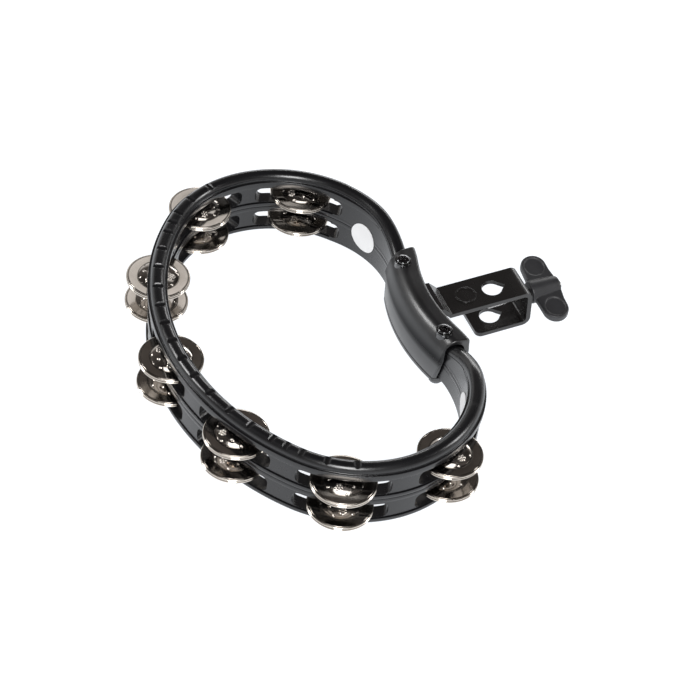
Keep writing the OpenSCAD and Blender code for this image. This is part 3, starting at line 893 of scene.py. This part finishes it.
def dish_wings(points):
    """Presses a shallow dish in both faces of each wing."""
    for side in (-1, 1):
        dx, dy = points[:, 0] - WING_X, points[:, 1] * side - 16.6
        distance = np.sqrt((dx / 6.9) ** 2 + (dy / 7.6) ** 2)   # 1 on the dish's edge
        edge = np.clip((distance - 0.86) / 0.14, 0, 1)
        strength = 1 - edge * edge * (3 - 2 * edge)
        on_face = np.abs(points[:, 2]) > 1.2
        points[:, 2] -= np.where(on_face, np.sign(points[:, 2]) * 0.75 * strength, 0)


def wing_knob():
    knob = solid("wing_screw_head", *placed(TO_X, *lathe(HUB_PROFILE, 72)))
    combine(knob, wing_slab(), "UNION")
    # remeshed and smoothed so hub and wings flow together
    remesh = knob.modifiers.new("remesh", "REMESH")
    remesh.mode = "VOXEL"
    remesh.voxel_size = 0.00042
    smooth = knob.modifiers.new("smooth", "SMOOTH")
    smooth.iterations = 5
    smooth.factor = 0.5
    apply_modifiers(knob)
    vertices = knob.data.vertices
    points = np.zeros(len(vertices) * 3)
    vertices.foreach_get("co", points)
    points = points.reshape(-1, 3) * 1000
    dish_wings(points)
    pose = (TILT @ Matrix.Translation((KNOB_START, 0, AXIS_Z))
            @ Matrix.Rotation(math.radians(8), 4, "X"))
    points = np.array([tuple(pose @ Vector(point)) for point in points]) / 1000
    vertices.foreach_set("co", points.ravel())
    skin(knob, "knob_plastic")
    install(knob, "wing_knob", "wing_knob")


threaded_stud()
wing_knob()


# ---------------------------------------------------------------- floor and world
def floor():
    """A pale, faintly glowing square of 14 m just below the ring."""
    material, tree, shader = new_material("floor_pale")
    mottle = ramp(tree, noise(tree, scale=3.0, detail=2), [(0.3, grey(0.29)), (0.7, grey(0.31))])
    tree.links.new(mottle, shader.inputs["Base Color"])
    shader.inputs["Emission Color"].default_value = (0.93, 0.96, 1.0, 1)
    shader.inputs["Emission Strength"].default_value = 0.95
    shader.inputs["Roughness"].default_value = 0.9
    shader.inputs["Specular IOR Level"].default_value = 0.1
    mesh = bpy.data.meshes.new("floor")
    mesh.from_pydata([(-7, -7, 0), (7, -7, 0), (7, 7, 0), (-7, 7, 0)], [], [(0, 1, 2, 3)])
    sheet = link_new("floor", mesh)
    sheet.location = SHIFT + Vector((MIDDLE_X, 0, -0.0337))
    mesh.materials.append(material)


def studio_world():
    """Dim, cloudy surroundings that brighten low down."""
    world = bpy.data.worlds.new("studio")
    SCENE.world = world
    world.use_nodes = True
    tree = world.node_tree
    background = tree.nodes["Background"]
    direction = tree.nodes.new("ShaderNodeTexCoord").outputs["Generated"]
    cloud = tree.nodes.new("ShaderNodeTexNoise")
    cloud.inputs["Scale"].default_value = 1.6
    cloud.inputs["Detail"].default_value = 1.0
    tree.links.new(direction, cloud.inputs["Vector"])
    dim = ramp(tree, cloud.outputs[0],
               [(0.35, (0.035, 0.032, 0.030)), (0.6, (0.11, 0.10, 0.095))])
    split = tree.nodes.new("ShaderNodeSeparateXYZ")
    tree.links.new(direction, split.inputs[0])
    height = remap(tree, split.outputs[2], span=(0.0, 1.0), to=(0.0, 1.0))
    low = ramp(tree, height, [(0.22, grey(1.0)), (0.40, grey(0.0))])
    tree.links.new(mix(tree, "ADD", 0.7, dim, low), background.inputs[0])
    background.inputs[1].default_value = 1.0


floor()
studio_world()

# ---------------------------------------------------------------- lights
CAMERA_AZIMUTH = math.atan2(-0.8727, -0.4882)


def area(name, azimuth, elevation, distance, size, power, stations=()):
    """A softbox aimed at the ring's middle; sizes in metres.

    Azimuth is in degrees, 0 towards the camera and positive to the camera's right. With
    stations given, the light reaches only those jingles, as a card held close to them would.
    """
    turn, tilt = CAMERA_AZIMUTH + math.radians(azimuth), math.radians(elevation)
    direction = Vector((math.cos(turn) * math.cos(tilt), math.sin(turn) * math.cos(tilt),
                        math.sin(tilt)))
    lamp = bpy.data.lights.new(name, "AREA")
    lamp.shape = "RECTANGLE"
    lamp.size, lamp.size_y = size
    lamp.energy = power
    light = link_new(name, lamp)
    light.location = SHIFT + Vector((MIDDLE_X, 0.0, 0.0)) + direction * distance
    light.rotation_euler = (-direction).to_track_quat("-Z", "Y").to_euler()
    if stations:
        group = bpy.data.collections.new(name + "_discs")
        for part in list(SCENE.objects):
            if part.name.startswith("disc_") and int(part.name[5]) in stations:
                group.objects.link(part)
        light.light_linking.receiver_collection = group


area("key", azimuth=6, elevation=42, distance=2.6, size=(0.8, 1.1), power=46)
area("left_box", azimuth=-95, elevation=34, distance=2.2, size=(0.5, 0.6), power=16)
area("right_box", azimuth=100, elevation=30, distance=2.2, size=(0.4, 0.7), power=12)
area("back_strip", azimuth=172, elevation=14, distance=2.2, size=(1.6, 0.25), power=9)
area("flange_card", azimuth=183, elevation=47, distance=2.2, size=(1.5, 0.75), power=3.4,
     stations=(1, 2, 3))
area("dome_card", azimuth=0, elevation=84, distance=2.3, size=(1.3, 1.2), power=17,
     stations=range(1, 8))

# ---------------------------------------------------------------- camera
CAMERA_PLACE = Vector((-0.4196098, -0.9909431, 1.0823491))   # metres, in the design's frame
# columns are the camera's right, up and backward directions
CAMERA_TURN = Matrix((
    (0.919168, 0.196599, -0.341289),
    (-0.378372, 0.681399, -0.626521),
    (0.109381, 0.705013, 0.700709)))
lens = bpy.data.cameras.new("camera")
lens.lens = 130.138
lens.sensor_width = 36
lens.clip_start = 0.05
camera = link_new("camera", lens)
camera.matrix_world = Matrix.Translation(SHIFT + CAMERA_PLACE) @ CAMERA_TURN.to_4x4()
SCENE.camera = camera
SCENE.view_settings.view_transform = "Standard"
